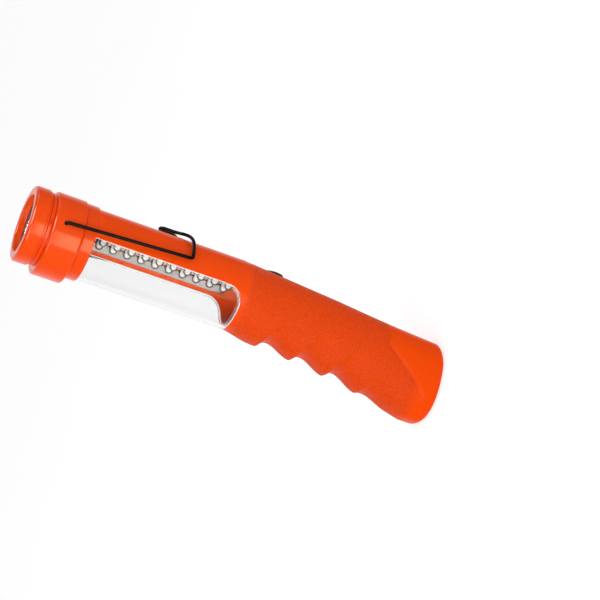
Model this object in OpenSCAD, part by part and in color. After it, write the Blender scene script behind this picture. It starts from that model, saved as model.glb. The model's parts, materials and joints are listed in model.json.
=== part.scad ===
// Hand-held traffic baton light: spot lamp in the nose, flood lamps behind a
// half-round lens along the barrel, a wire bail hook on a collar and a drooping
// grip with finger grooves.
// Units are millimetres. +Z runs along the barrel from the tail to the nose,
// the origin is on the barrel axis in the plane of the tail face, the flood
// lens faces -Y and the thumb side of the grip faces +Y.

/* [Overall] */
// Length from the tail face to the front of the bezel
total_len = 261.4; // [240:0.1:300]
// Outside diameter of the barrel and of the flood lens
barrel_d = 42; // [38:0.5:48]
// Wall of the two moulded body shells
shell_wall = 2.4; // [2:0.1:3]
// Assembly gap between fixed neighbours
fit_gap = 0.05; // [0.02:0.01:0.1]

/* [Head] */
// Outside diameter of the bezel
bezel_d = 44.4; // [42:0.2:47]
// Length of the bezel in front of the collar gap
bezel_len = 10; // [6:0.1:12]
// Diameter of the opening in the bezel
bezel_opening_d = 33.4; // [26:0.2:34]
// Depth of the cup in front of the front lens
lip = 4; // [3:0.1:8]
// Gap between the bezel and the collar
collar_gap = 2.4; // [1:0.1:3]
// Outside diameter of the collar that carries the hook
collar_d = 48.7; // [46:0.1:52]
// Length of the collar
collar_len = 17.6; // [16:0.1:24]
// Distance that the collar stands out further on the lens side
collar_offset = 1.6; // [0:0.1:3]
// Outside diameter of the fixed ring behind the collar
ring_d = 44; // [42.5:0.1:46]
// Length of the fixed ring behind the collar
ring_len = 7.4; // [5:0.1:12]

/* [Flood lamp] */
// Length of the window behind the fixed ring
window_len = 91.2; // [80:0.1:105]
// Corner radius at the rear end of the window
window_corner_r = 10; // [5:0.5:14]
// Wall of the clear flood lens
lens_wall = 2; // [1.5:0.1:3]
// Lamps along the barrel in each row
led_count = 10; // [6:1:12]
// Spacing of the lamps along the barrel
led_pitch = 8.6; // [7:0.1:10]
// Spacing between the two rows of lamps
led_row_gap = 9; // [7:0.5:18]
// Depth of the lamp tips behind the window rim
led_tip_depth = 0.3; // [0:0.1:5]

/* [Hook] */
// Wire diameter of the hook
wire_d = 2; // [1.8:0.1:3]
// Distance from the pivot to the cross bend, along the barrel
hook_len = 74.5; // [50:0.5:78]
// Distance from the front of the collar to the pivot
pivot_back = 6.6; // [5:0.1:10]
// Radius of the cross bend around the barrel axis
hook_bend_r = 23.6; // [23:0.1:26]
// Height of the legs above the pivot at the cross bend
hook_rise = 5; // [4:0.5:12]
// Length of the tongue that points back toward the nose
tongue_len = 17; // [12:0.1:24]
// Distance between the two wires of the tongue
tongue_w = 5; // [4:0.5:12]
// Turn of the pivot line about the barrel axis
pivot_turn = 3; // [0:0.5:10]

/* [Grip] */
// Height of the back of the grip above the barrel axis at the tail
tail_back = 11.6; // [8:0.1:16]
// Depth of the heel of the grip below the barrel axis
heel_drop = 39.3; // [32:0.1:44]
// Width of the grip at its waist
waist_w = 36; // [30:0.5:42]
// Width of the pommel
pommel_w = 42; // [34:0.5:44]
// Step where the pommel stands out from the grip
pommel_step = 1.4; // [0:0.1:2]
// Depth of the finger grooves
groove_depth = 4.5; // [2:0.1:6]
// Spacing of the finger grooves
groove_pitch = 22.5; // [20:0.5:30]
// Rounding of the tail face
tail_round = 4.5; // [3:0.5:8]

/* [Power] */
// Diameter of the battery cell
cell_d = 18.6; // [14:0.1:22]
// Length of the battery cell
cell_len = 65; // [50:0.5:70]
// Angle between the battery axis and the barrel axis
cell_tilt = 6; // [4:0.5:8]
// Travel of the push button
button_travel = 1.2; // [0.8:0.1:2]

/* [Hidden] */

$fn = 96;

// Stations along the barrel
bezel_z1 = total_len;
bezel_z0 = bezel_z1 - bezel_len;
collar_z1 = bezel_z0 - collar_gap;
collar_z0 = collar_z1 - collar_len;
ring_z0 = collar_z0 - ring_len;
window_z0 = ring_z0 - window_len;

// Radii of the barrel and the head
barrel_r = barrel_d / 2;
bezel_r = bezel_d / 2;
opening_r = bezel_opening_d / 2;
collar_r = collar_d / 2;
ring_r = ring_d / 2;
shell_r = barrel_r - shell_wall;
neck_r = 20.4;
neck_bore_r = 19.05;
core_bore_r = 16.4;
shoulder_z = collar_z0 + 9;
spigot_r = shell_r - fit_gap;
spigot_len = 8;
snap_r = 20;
bezel_ring_r = 0.6;

// Front optics, listed from the lip of the bezel inward
lens_t = 2;
lens_gasket_t = 0.6;
front_lens_z1 = bezel_z1 - lip - lens_gasket_t;
front_lens_z0 = front_lens_z1 - lens_t;
bezel_male_r = neck_bore_r - fit_gap;
bezel_male_bore_r = 17.4;
sink_disc_z1 = shoulder_z + 3.5;
bezel_male_z0 = sink_disc_z1 + 0.5;
spot_board_t = 1.6;
spot_screw_x = 7.6;
spot_board_z1 = sink_disc_z1 + spot_board_t;
reflector_z0 = spot_board_z1 + 0.4;

// Flood lamp stations
led_tip_y = led_tip_depth;
led_len = 8.6;
flood_board_y = led_tip_y + led_len;
flood_board_t = 1.6;
led_r = 2.5;
led_shift = -1.4;
led_first_z = window_z0 + (window_len - (led_count - 1) * led_pitch) / 2 + led_shift;
tray_y = led_tip_y + 4;

// Hook stations
wire_r = wire_d / 2;
pivot_z = collar_z1 - pivot_back;
pivot_leg_x = collar_r + wire_r + 0.5;
corner_x = sqrt(pow(hook_bend_r, 2) - pow(hook_rise, 2));
corner_z = pivot_z - hook_len;
tongue_r = tongue_w / 2;
tongue_angle = acos(tongue_r / hook_bend_r);
tongue_y = hook_bend_r * sin(tongue_angle);
turn_angle = 40;
turn_rise = 10;
turn_steps = 5;
clip_t = 1;
clip_r = 2.4;

// Grip stations and finger grooves
grip_z1 = window_z0 + 2;
first_crest_z = window_z0 - 21.3;
groove_count = 4;
groove_lean = 13;
groove_side = 0.35;
groove_side_low = 0.5;
guard_drop = 3;
heel_z = 12;
guard_rate = 6;
back_z0 = 4;
back_sag = 0.5;
back_sag_z1 = 70;
waist_run = 40;
pommel_z1 = 50;
pommel_run = 35;
pommel_line_z0 = 10;
pommel_line_rise = 28;
pommel_line_low = -0.5;
pommel_line_span = 0.9;
pommel_line_w = 4;
pommel_line_top = 0.85;
pommel_line_fade = 0.4;
foot_z1 = 16;
foot_run = 12;
sections = 44;
arc_steps = 16;
section_power = 0.9;

// Battery stations, measured along the battery axis from the tail plane
cell_r = cell_d / 2;
tube_r = cell_r + 1.7;
tube_bore_r = cell_r + 0.3;
cap_r = 12;
cap_bore_r = cap_r + 0.35;
cap_z0 = 2.2;
cap_head_t = 4;
cap_ring_r = 0.72;
tube_z0 = cap_z0 + cap_head_t + 0.1;
cell_z0 = 19;
cell_z1 = cell_z0 + cell_len;
tube_z1 = cell_z1 + 7;
battery_y = -13.4;
rib_stations = [36, 58, 80];
rib_t = 2.4;
strip_w = 4.4;

// Body screws
screw_r = 1.5;
screw_head_r = 2.8;
screw_bite = 6;
boss_r = 3;

// Push button and control board
button_z = window_z0 - 20;
button_r = 6.5;
board_y = 3.5;
board_t = 1.6;
board_z0 = window_z0 - 38;
board_z1 = window_z0 - 6;
switch_h = 7;
seal_wire_r = 0.5;

// ---------------------------------------------------------------- helpers

// Ring between two radii, standing from z0 to z1
module ring(r_out, r_in, z0, z1) {
    translate([0, 0, z0])
        difference() {
            cylinder(r = r_out, h = z1 - z0);
            translate([0, 0, -1])
                cylinder(r = r_in, h = z1 - z0 + 2);
        }
}

// Torus around Z
module torus(r_mid, r_wire, z) {
    translate([0, 0, z])
        rotate_extrude()
            translate([r_mid, 0])
                circle(r = r_wire, $fn = 32);
}

// Round bar between two points
module rod(a, b, r) {
    d = b - a;
    len = norm(d);
    translate(a)
        rotate([0, acos(d[2] / len), atan2(d[1], d[0])])
            cylinder(r = r, h = len, $fn = 32);
}

// Places children on a cylinder axis that runs along +Y from y0
module along_y(x, y0, z) {
    translate([x, y0, z])
        rotate([-90, 0, 0])
            children();
}

// Places children on the tilted battery axis
module on_battery_axis() {
    translate([0, battery_y, 0])
        rotate([-cell_tilt, 0, 0])
            children();
}

// Half space block on one side of the parting plane
module side_block(side) {
    translate([side > 0 ? 0 : -60, -60, -20])
        cube([60, 120, total_len + 40]);
}

// Both rows of the flood lamps
module at_each_led() {
    for (row = [-1, 1])
        for (i = [0 : led_count - 1])
            translate([row * led_row_gap / 2, 0, led_first_z + i * led_pitch])
                children();
}

// ---------------------------------------------------------------- grip surface

function clamp01(t) = min(1, max(0, t));
function smooth(t) = clamp01(t) * clamp01(t) * (3 - 2 * clamp01(t));

// Depth of the finger grooves at a station: a crisp crest, then a slow rise to the next
function groove(z) = let (
        t = (first_crest_z - z) / groove_pitch,
        f = t - floor(t),
        fade = t > groove_count - 1 ? 0.5 : 1
    ) t < 0 || t > groove_count ? 0 : fade * groove_depth * 6.75 * f * pow(1 - f, 2);

// Height of the back of the grip
function back_y(z) = tail_back + (barrel_r - tail_back) * clamp01((z - back_z0) / (grip_z1 - back_z0))
    - back_sag * sin(180 * clamp01(z / back_sag_z1));

// Depth of the crests between the grooves
function crest_y(z) = let (t = clamp01((grip_z1 - z) / (grip_z1 - heel_z)))
    -(barrel_r + guard_drop * smooth(t * guard_rate) + (heel_drop - barrel_r - guard_drop) * t * t);

// Half width of the grip
function half_w(z) = let (
        t_waist = smooth((grip_z1 - z) / waist_run),
        t_pommel = smooth((pommel_z1 - z) / pommel_run)
    ) barrel_r + (waist_w / 2 - barrel_r) * t_waist
        + (pommel_w / 2 - waist_w / 2 - pommel_step) * t_pommel;

// Station of the curved line at which the pommel starts, s from -1 at the heel to 1 at the back
function pommel_line(s) = pommel_line_z0
    + pommel_line_rise * smooth((s - pommel_line_low) / pommel_line_span);

// Step of the pommel behind its line on each side, and the foot in front of the line
function pommel_out(z, s) = let (
        behind = clamp01((pommel_line(s) - z) / pommel_line_w),
        below_back = clamp01((pommel_line_top - s) / pommel_line_fade),
        foot = smooth((foot_z1 - z) / foot_run)
    ) pommel_step * (behind * below_back + foot * (1 - behind));

// Inward pull that rounds the tail face
function tail_pull(z) = z >= tail_round ? 0
    : tail_round - sqrt(pow(tail_round, 2) - pow(tail_round - z, 2));

// Point on the right-hand half of a section, from the heel side (-90) to the back (90)
function grip_point(z, a, inset) = let (
        pull = tail_pull(z) + inset,
        low = max(0, -sin(a)),
        cut = groove(z + groove_lean * pow(1 - low, 1.5)),
        side_cut = groove_side * cut * smooth(low / groove_side_low),
        top = back_y(z) - pull,
        bottom = crest_y(z) + cut * pow(low, 1.4) + pull,
        mid = (top + bottom) / 2,
        x = (half_w(z) + pommel_out(z, sin(a)) - side_cut - pull) * pow(max(0, cos(a)), section_power),
        reach = a < 0 ? mid - bottom : top - mid,
        s = sin(a)
    ) [x, mid + reach * sign(s) * pow(abs(s), section_power), z];

// Solid right-hand half of the grip between two stations
module grip_half(z0, z1, inset) {
    rows = [for (i = [0 : sections]) let (t = i / sections) z0 + (z1 - z0) * pow(t, 1.15)];
    per = arc_steps + 1;
    points = [for (z = rows) for (j = [0 : arc_steps]) grip_point(z, -90 + 180 * j / arc_steps, inset)];
    skin = [for (i = [0 : sections - 1]) for (j = [0 : arc_steps - 1]) for (k = [0, 1])
        let (p = i * per + j, q = p + per)
            k == 0 ? [p, q, q + 1] : [p, q + 1, p + 1]];
    parting = [for (i = [0 : sections - 1]) for (k = [0, 1])
        let (p = i * per, q = p + per, pe = p + arc_steps, qe = q + arc_steps)
            k == 0 ? [p, pe, q] : [pe, qe, q]];
    tail_face = [[for (j = [arc_steps : -1 : 0]) j]];
    nose_face = [[for (j = [0 : arc_steps]) sections * per + j]];
    polyhedron(points = points, faces = concat(skin, parting, tail_face, nose_face), convexity = 6);
}

module grip_side(side, z0, z1, inset) {
    if (side > 0)
        grip_half(z0, z1, inset);
    else
        mirror([1, 0, 0])
            grip_half(z0, z1, inset);
}

// Stations of the push button along Y
switch_top = board_y + board_t + switch_h;
button_top = back_y(button_z) + 1.4;
button_seat = button_top - 4;

// ---------------------------------------------------------------- body shells

// Side view of the window, drawn with Y across and Z up; grow > 0 widens it
module window_outline(grow) {
    r = window_corner_r + grow;
    z0 = window_z0 - grow;
    y1 = grow;
    difference() {
        translate([-40, z0])
            square([40 + y1, ring_z0 - z0 + 20]);
        translate([y1 - r, z0])
            difference() {
                square([r + 1, r]);
                translate([0, r])
                    circle(r = r);
            }
    }
}

// Window outline pushed through the barrel along X
module window_prism(grow) {
    rotate([90, 0, 90])
        translate([0, 0, -40])
            linear_extrude(height = 80)
                window_outline(grow);
}

// Half width of the outside of the barrel or grip at a height and station
function surface_x(y, z) = z > grip_z1 ? sqrt(pow(barrel_r, 2) - y * y) : let (
        mid = (back_y(z) + crest_y(z)) / 2,
        t = min(1, abs(y - mid) / (back_y(z) - mid)),
        s = pow(t, 1 / section_power)
    ) half_w(z) * pow(sqrt(1 - s * s), section_power);

// Distance from the parting plane to which a boss can reach under the skin
function boss_reach(site) = min([for (dy = [-boss_r, 0, boss_r])
    surface_x(site[0] + dy, site[1])]) - 1.4;

// Distance from the parting plane to the seat of a screw head
function seat_reach(site) = boss_reach(site) - 2.4;

// [y, z] of each body screw
screw_sites = [
    [15.4, window_z0 + 52],
    [15.4, window_z0 + 12],
    [9, 62],
    [-17, first_crest_z - 1],
    [4.6, 24],
    [-28.5, 22],
];

// Places children on a screw axis with Z pointing to the given side
module at_screw(site, side) {
    translate([0, site[0], site[1]])
        rotate([0, side * 90, 0])
            children();
}

// Screw holes of one shell, with head recesses on the left
module screw_holes(side) {
    for (site = screw_sites)
        at_screw(site, side)
            if (side > 0) {
                translate([0, 0, -1])
                    cylinder(r = screw_r, h = screw_bite + 1.5);
            } else {
                translate([0, 0, -1])
                    cylinder(r = screw_r + 0.2, h = 40);
                translate([0, 0, seat_reach(site)])
                    cylinder(r = screw_head_r + 0.2, h = 40);
            }
}

// One moulded half of the barrel and grip
module body_shell(side) {
    difference() {
        union() {
            difference() {
                union() {
                    intersection() {
                        translate([0, 0, window_z0 - 2])
                            cylinder(r = barrel_r, h = ring_z0 - fit_gap - window_z0 + 2);
                        side_block(side);
                    }
                    grip_side(side, 0, grip_z1, 0);
                }
                translate([0, 0, window_z0 - 4])
                    cylinder(r = shell_r, h = window_len + 10);
                grip_side(side, 5, window_z0 - 3, shell_wall);
                window_prism(0);
            }
            lens_ledge(side);
            intersection() {
                union() {
                    for (site = screw_sites)
                        at_screw(site, side)
                            cylinder(r = boss_r, h = boss_reach(site));
                    tail_socket();
                    button_guide();
                }
                side_block(side);
            }
            tube_ribs(side);
        }
        on_battery_axis() {
            translate([0, 0, -10])
                cylinder(r = cap_bore_r, h = tube_z0 + 10.5);
            translate([0, 0, tube_z0])
                cylinder(r = tube_r + fit_gap, h = tube_z1 - tube_z0 + fit_gap);
            translate([-strip_w / 2 - 0.4, 0, tube_z0 + 8])
                cube([strip_w + 0.8, tube_r + 1.2, tube_z1 - tube_z0]);
        }
        button_hole();
        screw_holes(side);
    }
}

// Step under the edge of the window that carries the lens and its gasket
module lens_ledge(side) {
    ledge_r = shell_r - 0.8;
    intersection() {
        difference() {
            ring(ledge_r, ledge_r - 1.4, window_z0 - 4, ring_z0 - spigot_len - 0.4);
            window_prism(-1.2);
        }
        window_prism(3);
        side_block(side);
    }
    intersection() {
        difference() {
            ring(shell_r + 0.3, ledge_r - 1.4, window_z0 - 4, ring_z0 - spigot_len - 0.4);
            window_prism(0.2);
        }
        window_prism(3);
        side_block(side);
    }
}

// Ribs across the grip that cradle the battery tube
module tube_ribs(side) {
    intersection() {
        on_battery_axis()
            for (z = rib_stations)
                translate([-40, -60, z])
                    cube([80, 120, rib_t]);
        grip_side(side, 6, window_z0 - 4, shell_wall - 0.3);
    }
}

// Thick wall around the tail cap
module tail_socket() {
    intersection() {
        on_battery_axis()
            translate([0, 0, 0.5])
                cylinder(r = cap_bore_r + 2, h = 13);
        translate([-60, -60, 3])
            cube([120, 120, 20]);
    }
}

// Opening for the push button
module button_hole() {
    along_y(0, board_y + 8, button_z)
        cylinder(r = button_r + 0.25, h = 30);
}

// Guide inside the shells around the push button
module button_guide() {
    along_y(0, button_seat - 3, button_z)
        cylinder(r = button_r + 1.8, h = 3);
}

module body_shell_right() {
    color("darkorange")
        body_shell(1);
}

module body_shell_left() {
    color("orange")
        body_shell(-1);
}

module body_screws() {
    head_t = 1.8;
    color("silver")
        for (site = screw_sites)
            at_screw(site, -1)
                difference() {
                    union() {
                        translate([0, 0, seat_reach(site)])
                            cylinder(r = screw_head_r, h = head_t);
                        translate([0, 0, -screw_bite])
                            cylinder(r = screw_r, h = screw_bite + seat_reach(site) + 0.5);
                    }
                    translate([0, 0, seat_reach(site) + head_t - 1.1])
                        cylinder(r = 1.2, h = 2, $fn = 6);
                }
}

// ---------------------------------------------------------------- flood lamp

module flood_lens() {
    color("white", 0.35)
        intersection() {
            ring(barrel_r, barrel_r - lens_wall, window_z0, ring_z0 - fit_gap);
            window_prism(-0.15);
        }
}

module flood_lens_gasket() {
    gasket_r = barrel_r - lens_wall - fit_gap;
    color("white", 0.6)
        intersection() {
            difference() {
                ring(gasket_r, gasket_r - 1, window_z0 + 0.1, ring_z0 - spigot_len - 0.5);
                window_prism(-1.2);
            }
            window_prism(-0.2);
        }
}

// Bright tray around the lamps
module flood_reflector() {
    floor_half = led_row_gap / 2 + 3.8;
    rim_half = 15.1;
    rim_y = tray_y - 2.4;
    t = 1;
    color("whitesmoke")
        difference() {
            translate([0, 0, window_z0 + 1.5])
                linear_extrude(height = window_len - 2)
                    polygon([
                        [-rim_half, rim_y], [-floor_half, tray_y], [floor_half, tray_y], [rim_half, rim_y],
                        [rim_half + t, rim_y], [floor_half + t, tray_y + t],
                        [-floor_half - t, tray_y + t], [-rim_half - t, rim_y],
                    ]);
            at_each_led()
                along_y(0, -20, 0)
                    cylinder(r = led_r + 0.7, h = 60, $fn = 32);
        }
}

module flood_board() {
    color("green")
        translate([-led_row_gap / 2 - 3.4, flood_board_y, window_z0 + 2])
            cube([led_row_gap + 6.8, flood_board_t, window_len - 2.6]);
}

// Domed lamp with its base flange, pointing along -Y
module flood_led() {
    rotate([90, 0, 0]) {
        cylinder(r = 2.9, h = 1, $fn = 32);
        cylinder(r = led_r, h = led_len - led_r, $fn = 32);
        translate([0, 0, led_len - led_r])
            sphere(r = led_r, $fn = 32);
    }
}

module flood_leds() {
    color("azure", 0.6)
        at_each_led()
            translate([0, flood_board_y - 0.01, 0])
                flood_led();
}

// ---------------------------------------------------------------- head

module head_core() {
    groove_z = collar_z0 + 4;
    color("orangered")
        difference() {
            union() {
                translate([0, 0, ring_z0 - spigot_len])
                    cylinder(r = spigot_r - 0.05, h = spigot_len + 1);
                translate([0, 0, ring_z0])
                    cylinder(r = ring_r, h = ring_len);
                translate([0, 0, collar_z0 - 1])
                    cylinder(r = neck_r, h = bezel_z0 - fit_gap - collar_z0 + 1);
            }
            translate([0, 0, ring_z0 - spigot_len - 1])
                cylinder(r = core_bore_r, h = 80);
            translate([0, 0, shoulder_z])
                cylinder(r = neck_bore_r, h = 40);
            torus(neck_r - 0.65, 0.72, groove_z);
            ring(neck_r + 1, snap_r, collar_z1 + 0.05, bezel_z0 - 0.4);
            translate([-40, -80.6, ring_z0 - spigot_len - 1])
                cube([80, 80, spigot_len + 1]);
        }
}

module collar_o_ring() {
    color("black")
        torus(neck_r - 0.65, 0.7, collar_z0 + 4);
}

// Side profile of the collar with its rounded corners, around its own axis
module collar_profile() {
    r = 1.6;
    difference() {
        translate([0, collar_z0 + 0.05])
            square([collar_r, collar_len - 0.05]);
        for (end = [0, 1])
            translate([collar_r - r, end == 0 ? collar_z0 + 0.05 + r : collar_z1 - r])
                rotate([0, 0, end == 0 ? -90 : 0])
                    difference() {
                        square([r + 1, r + 1]);
                        circle(r = r, $fn = 64);
                    }
    }
}

module hook_collar() {
    color("darkorange")
        difference() {
            translate([0, -collar_offset, 0])
                rotate_extrude()
                    collar_profile();
            translate([0, 0, collar_z0 - 1])
                cylinder(r = neck_r + fit_gap, h = collar_len + 2);
            translate([0, 0, pivot_z])
                rotate([0, 90, pivot_turn])
                    translate([0, 0, -40])
                        cylinder(r = wire_r + 0.06, h = 80, $fn = 48);
            for (side = [0, 1])
                rotate([0, 0, 180 * side + pivot_turn])
                    translate([neck_r - 1, 0, pivot_z])
                        rotate([0, 90, 0])
                            cylinder(r = clip_r + 0.3, h = clip_t + 1.6);
        }
}

module collar_retaining_ring() {
    color("orangered")
        difference() {
            ring(neck_r + 0.7, snap_r + 0.02, collar_z1 + 0.1, bezel_z0 - 0.45);
            translate([0, -1, collar_z1 - 1])
                cube([40, 2, 5]);
        }
}

// ---------------------------------------------------------------- hook

// Point on the turn from the cross bend into the tongue, t from 0 to 1
function turn_point(t) = let (a = turn_angle + (tongue_angle - turn_angle) * sin(90 * t))
    [hook_bend_r * cos(a), hook_bend_r * sin(a), corner_z + turn_rise * (1 - cos(90 * t))];

// Ball that joins two lengths of wire
module wire_bend(p) {
    translate(p)
        sphere(r = wire_r + 0.05, $fn = 32);
}

// One side of the bail, drawn on +X
module hook_half() {
    inner_end = [neck_r + 0.35, 0, pivot_z];
    knee = [pivot_leg_x, 0, pivot_z];
    corner = [corner_x, hook_rise, corner_z];
    start = atan2(hook_rise, corner_x);
    tongue_end = [tongue_r, tongue_y, corner_z + tongue_len - tongue_r];
    rod(inner_end, knee, wire_r);
    wire_bend(knee);
    rod(knee, corner, wire_r);
    wire_bend(corner);
    translate([0, 0, corner_z])
        rotate([0, 0, start])
            rotate_extrude(angle = turn_angle - start)
                translate([hook_bend_r, 0])
                    circle(r = wire_r, $fn = 32);
    for (i = [0 : turn_steps - 1]) {
        wire_bend(turn_point(i / turn_steps));
        rod(turn_point(i / turn_steps), turn_point((i + 1) / turn_steps), wire_r);
    }
    wire_bend(turn_point(1));
    rod(turn_point(1), tongue_end, wire_r);
}

module hook() {
    color("black")
        rotate([0, 0, pivot_turn]) {
            hook_half();
            mirror([1, 0, 0])
                hook_half();
            translate([0, tongue_y, corner_z + tongue_len - tongue_r])
                rotate([90, 0, 0])
                    rotate_extrude(angle = 180)
                        translate([tongue_r, 0])
                            circle(r = wire_r, $fn = 32);
        }
}

// Push-on clips that keep the wire ends in the collar
module hook_clips() {
    color("silver")
        for (side = [0, 1])
            rotate([0, 0, 180 * side + pivot_turn])
                translate([neck_r + 0.5, 0, pivot_z])
                    rotate([0, 90, 0])
                        difference() {
                            cylinder(r = clip_r, h = clip_t);
                            translate([0, 0, -1])
                                cylinder(r = wire_r, h = clip_t + 2, $fn = 32);
                        }
}

// ---------------------------------------------------------------- bezel and spot lamp

module bezel() {
    r = 2;
    color("darkorange")
        difference() {
            rotate_extrude()
                difference() {
                    union() {
                        translate([opening_r, bezel_z0])
                            square([bezel_r - opening_r - r, bezel_len]);
                        translate([opening_r, bezel_z0])
                            square([bezel_r - opening_r, bezel_len - r]);
                        translate([bezel_r - r, bezel_z1 - r])
                            circle(r = r, $fn = 64);
                        translate([bezel_male_bore_r, bezel_male_z0])
                            square([bezel_male_r - bezel_male_bore_r, bezel_z0 - bezel_male_z0 + 1]);
                    }
                    translate([0, bezel_male_z0 - 1])
                        square([bezel_male_bore_r, bezel_z1 - lip - bezel_male_z0 + 1]);
                    translate([opening_r - 1, bezel_z1 - 1.2])
                        difference() {
                            square([2.2, 2.2]);
                            translate([2.2, 0])
                                circle(r = 1.2, $fn = 48);
                        }
                }
            torus(neck_bore_r - bezel_ring_r, bezel_ring_r + 0.02, bezel_z0 - 4);
        }
}

module bezel_o_ring() {
    color("black")
        torus(neck_bore_r - bezel_ring_r, bezel_ring_r, bezel_z0 - 4);
}

module front_lens() {
    color("white", 0.35)
        translate([0, 0, front_lens_z0])
            cylinder(r = bezel_male_bore_r - 0.1, h = lens_t);
}

module front_lens_gasket() {
    color("black")
        ring(bezel_male_bore_r - 0.1, opening_r + 0.2, front_lens_z1, bezel_z1 - lip);
}

// Radius of the spot reflector bowl at a height t from 0 to 1
function bowl_r(t) = 3.7 + (opening_r - 3.9) * sqrt(t);

module spot_reflector() {
    depth = front_lens_z0 - reflector_z0;
    steps = 12;
    outer = bezel_male_bore_r - 0.15;
    wall = 1.1;
    bowl = [for (i = [0 : steps]) [bowl_r(i / steps), reflector_z0 + depth * i / steps]];
    back = [for (i = [steps : -1 : 0])
        [min(outer, bowl_r(i / steps) + wall), reflector_z0 + depth * i / steps]];
    color("gainsboro")
        rotate_extrude()
            polygon(concat(bowl, back));
}

module spot_led() {
    color("lemonchiffon")
        translate([0, 0, spot_board_z1]) {
            translate([-2.5, -2.5, 0])
                cube([5, 5, 0.9]);
            intersection() {
                translate([0, 0, 0.9])
                    sphere(r = 2.3, $fn = 48);
                cylinder(r = 4, h = 6);
            }
        }
}

module spot_led_board() {
    color("white")
        difference() {
            translate([0, 0, sink_disc_z1])
                cylinder(r = 10, h = spot_board_t);
            for (a = [0, 180])
                rotate([0, 0, a])
                    translate([spot_screw_x, 0, spot_board_z1]) {
                        translate([0, 0, -5])
                            cylinder(r = 1.2, h = 10, $fn = 32);
                        translate([0, 0, -1.1])
                            cylinder(r = 2.1, h = 4, $fn = 32);
                    }
        }
}

module spot_board_screws() {
    color("silver")
        for (a = [0, 180])
            rotate([0, 0, a])
                translate([spot_screw_x, 0, spot_board_z1 - 1.1]) {
                    cylinder(r = 2, h = 1.1, $fn = 32);
                    translate([0, 0, -5])
                        cylinder(r = 1, h = 5.5, $fn = 32);
                }
}

// Finned block that carries the spot lamp on the shoulder of the core
module spot_heat_sink() {
    fin_len = 14;
    color("lightgray")
        difference() {
            union() {
                translate([0, 0, shoulder_z])
                    cylinder(r = neck_bore_r - fit_gap, h = sink_disc_z1 - shoulder_z);
                translate([0, 0, shoulder_z - fin_len])
                    cylinder(r = core_bore_r - 0.3, h = fin_len + 1);
            }
            for (i = [-2 : 2])
                translate([i * 5.4 - 1.6, -20, shoulder_z - fin_len - 1])
                    cube([3.2, 40, fin_len - 1]);
            for (a = [0, 180])
                rotate([0, 0, a])
                    translate([spot_screw_x, 0, spot_board_z1 - 7])
                        cylinder(r = 1, h = 20, $fn = 32);
        }
}

// ---------------------------------------------------------------- control and switch

module control_board() {
    color("green")
        translate([-12, board_y, board_z0])
            cube([24, board_t, board_z1 - board_z0]);
}

// Chips, coil and socket on the board
module control_components() {
    top = board_y + board_t;
    color("dimgray") {
        translate([-9, top, board_z0 + 1.5])
            cube([7, 1.8, 7]);
        translate([1, top, board_z0 + 1.5])
            cube([5, 1.4, 4]);
        along_y(5, top, board_z0 + 9)
            cylinder(r = 2.4, h = 4, $fn = 32);
        translate([-9, top, board_z1 - 6])
            cube([18, 3, 4]);
    }
}

module switch_body() {
    top = board_y + board_t;
    color("black")
        difference() {
            translate([-5, top, button_z - 5])
                cube([10, switch_h, 10]);
            along_y(0, top + 2, button_z)
                cylinder(r = 1.8, h = 20, $fn = 48);
        }
}

module switch_plunger() {
    color("ivory")
        along_y(0, switch_top - 3, button_z)
            cylinder(r = 1.7, h = button_seat - switch_top + 3, $fn = 48);
}

// Closed rings that stand in for the coil between the switch and the button
module switch_spring() {
    gap = button_seat - button_travel - 0.3 - switch_top;
    turns = 3;
    color("silver")
        for (i = [0 : turns - 1])
            along_y(0, switch_top + 0.3 + i * (gap - 0.6) / (turns - 1), button_z)
                rotate_extrude()
                    translate([2.6, 0])
                        circle(r = 0.28, $fn = 16);
}

// Ring around the skirt of the push button
module button_groove(r) {
    along_y(0, button_seat + 1.2, button_z)
        rotate_extrude()
            translate([button_r - 0.35, 0])
                circle(r = r, $fn = 32);
}

module switch_button() {
    dome = 18;
    color("black")
        difference() {
            intersection() {
                along_y(0, button_seat, button_z)
                    cylinder(r = button_r, h = 6);
                along_y(0, button_top - dome, button_z)
                    sphere(r = dome, $fn = 128);
            }
            button_groove(seal_wire_r + 0.02);
        }
}

module switch_seal() {
    color("dimgray")
        button_groove(seal_wire_r);
}

// ---------------------------------------------------------------- power

module battery_tube() {
    color("gray")
        on_battery_axis()
            difference() {
                translate([0, 0, tube_z0 + 0.1])
                    cylinder(r = tube_r, h = tube_z1 - tube_z0 - 0.1);
                translate([0, 0, -1])
                    cylinder(r = tube_bore_r, h = tube_z1 + 1 - 1.6);
                translate([0, 0, tube_z1 - 3])
                    cylinder(r = 3.2, h = 6);
            }
}

module battery_cell() {
    color("royalblue")
        on_battery_axis()
            translate([0, 0, cell_z0]) {
                cylinder(r = cell_r, h = cell_len - 1.2);
                cylinder(r = 3, h = cell_len);
            }
}

// Domed spring contact at the nose end of the tube
module positive_contact() {
    color("gold")
        on_battery_axis()
            translate([0, 0, cell_z1]) {
                cylinder(r = 2.4, h = tube_z1 - cell_z1 + 1);
                translate([0, 0, tube_z1 - cell_z1 - 2.1])
                    cylinder(r = 6, h = 0.5);
            }
}

// Strip that carries the negative side back to the board
module negative_strip() {
    color("gold")
        on_battery_axis()
            intersection() {
                ring(tube_r + 0.45, tube_r + 0.02, tube_z0 + 9, tube_z1 + 3);
                translate([-strip_w / 2, 0, 0])
                    cube([strip_w, 40, 200]);
            }
}

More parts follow.
